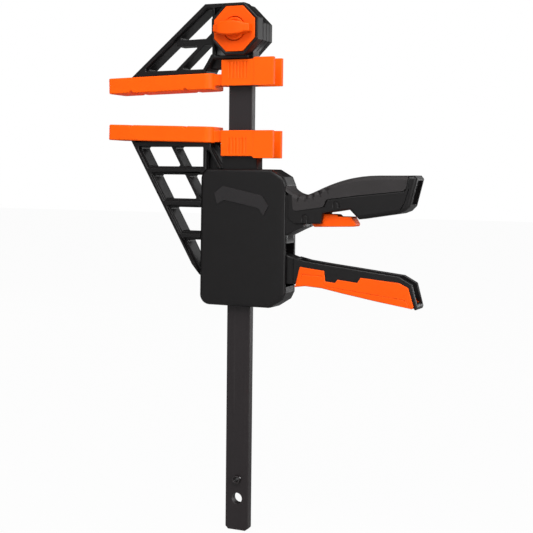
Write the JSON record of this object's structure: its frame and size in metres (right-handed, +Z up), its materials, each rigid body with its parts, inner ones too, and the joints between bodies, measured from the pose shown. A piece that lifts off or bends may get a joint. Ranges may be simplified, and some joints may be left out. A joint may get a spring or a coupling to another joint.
{
  "type": "quick release bar clamp",
  "caption": "One-handed bar clamp: fixed jaw on a flat bar, sliding jaw with pump lever, release trigger and pistol handle, padded jaws.",
  "frame": {"origin": "middle of the hang hole near the bar's foot, halfway through the bar", "axes": "+Z up along the bar to the fixed jaw, +X towards the handle and lever, +Y away from the side with the lock knob"},
  "size_m": [0.2359, 0.0351, 0.376],
  "materials": {
    "bar_steel": "blackened bar steel, matte, faint mill grain along its length",
    "bright_steel": "plain steel pins, screws, springs and hardened plates",
    "black_plastic": "black glass filled nylon, fine spark texture",
    "soft_black": "soft black overmoulding, matte",
    "orange_plastic": "orange nylon, satin",
    "orange_pad": "orange soft plastic pad, satin",
    "pale_plastic": "pale acetal bar guide"
  },
  "bodies": {
    "bar_and_fixed_jaw": {"bar": "bar_steel", "stop_pin": "bright_steel", "fixed_jaw": "black_plastic", "fixed_jaw_pad": "orange_pad", "lock_plate": "orange_plastic", "rear_lock_plate": "black_plastic", "head_screws": "bright_steel"},
    "lock": {"lock_knob": "orange_plastic", "lock_spindle": "bright_steel", "knob_cross_pin": "bright_steel", "lock_washer": "bright_steel", "lock_clip": "bright_steel"},
    "carriage": {"moving_jaw_frame": "black_plastic", "moving_jaw_pad": "orange_pad", "front_cover": "black_plastic", "rear_cover": "black_plastic", "cover_screws": "bright_steel", "lower_bar_guide": "pale_plastic", "upper_bar_guide": "pale_plastic", "brake_fulcrum_pin": "bright_steel", "lever_pivot_pin": "bright_steel", "trigger_pivot_pin": "bright_steel", "handle_grip": "soft_black", "handle_end_cap": "black_plastic", "drive_spring": "bright_steel", "brake_spring": "bright_steel"},
    "lever": {"pump_lever": "black_plastic", "lever_grip": "orange_plastic", "lever_nose_plate": "bright_steel", "nose_rivets": "bright_steel"},
    "drive_plates": {"upper_drive_plate": "bright_steel", "lower_drive_plate": "bright_steel"},
    "trigger": {"release_trigger": "orange_plastic"},
    "brake_plates": {"upper_brake_plate": "bright_steel", "lower_brake_plate": "bright_steel"}
  },
  "joints": [
    {"name": "lock_turn", "type": "hinge", "parent": "bar_and_fixed_jaw", "child": "lock", "pos_m": [0, 0, 0.3341], "axis": [0, -1, 0], "range_deg": [0, 90]},
    {"name": "carriage_slide", "type": "slide", "parent": "bar_and_fixed_jaw", "child": "carriage", "axis": [0, 0, 1], "range_m": [-0.123, 0.0215]},
    {"name": "lever_squeeze", "type": "hinge", "parent": "carriage", "child": "lever", "pos_m": [0.027, 0, 0.1735], "axis": [0, -1, 0], "range_deg": [0, 25], "stiffness_Nm_per_rad": 0.25, "springref_deg": -14.32},
    {"name": "drive_plate_slide", "type": "slide", "parent": "carriage", "child": "drive_plates", "axis": [0, 0, -1], "range_m": [0, 0.0055], "deforming": ["drive_spring"]},
    {"name": "trigger_pull", "type": "hinge", "parent": "carriage", "child": "trigger", "pos_m": [0.046, 0, 0.2045], "axis": [0, -1, 0], "range_deg": [0, 5.8], "stiffness_Nm_per_rad": 0.15, "springref_deg": -11.46},
    {"name": "brake_plate_tilt", "type": "hinge", "parent": "carriage", "child": "brake_plates", "pos_m": [-0.017, 0, 0.2065], "axis": [0, 1, 0], "range_deg": [0, 5.9], "deforming": ["brake_spring"]}
  ],
  "couplings": [
    {"joint": "drive_plate_slide", "follows": "lever_squeeze", "m_per_rad": 0.0125},
    {"joint": "brake_plate_tilt", "follows": "trigger_pull", "ratio": 1}
  ]
}
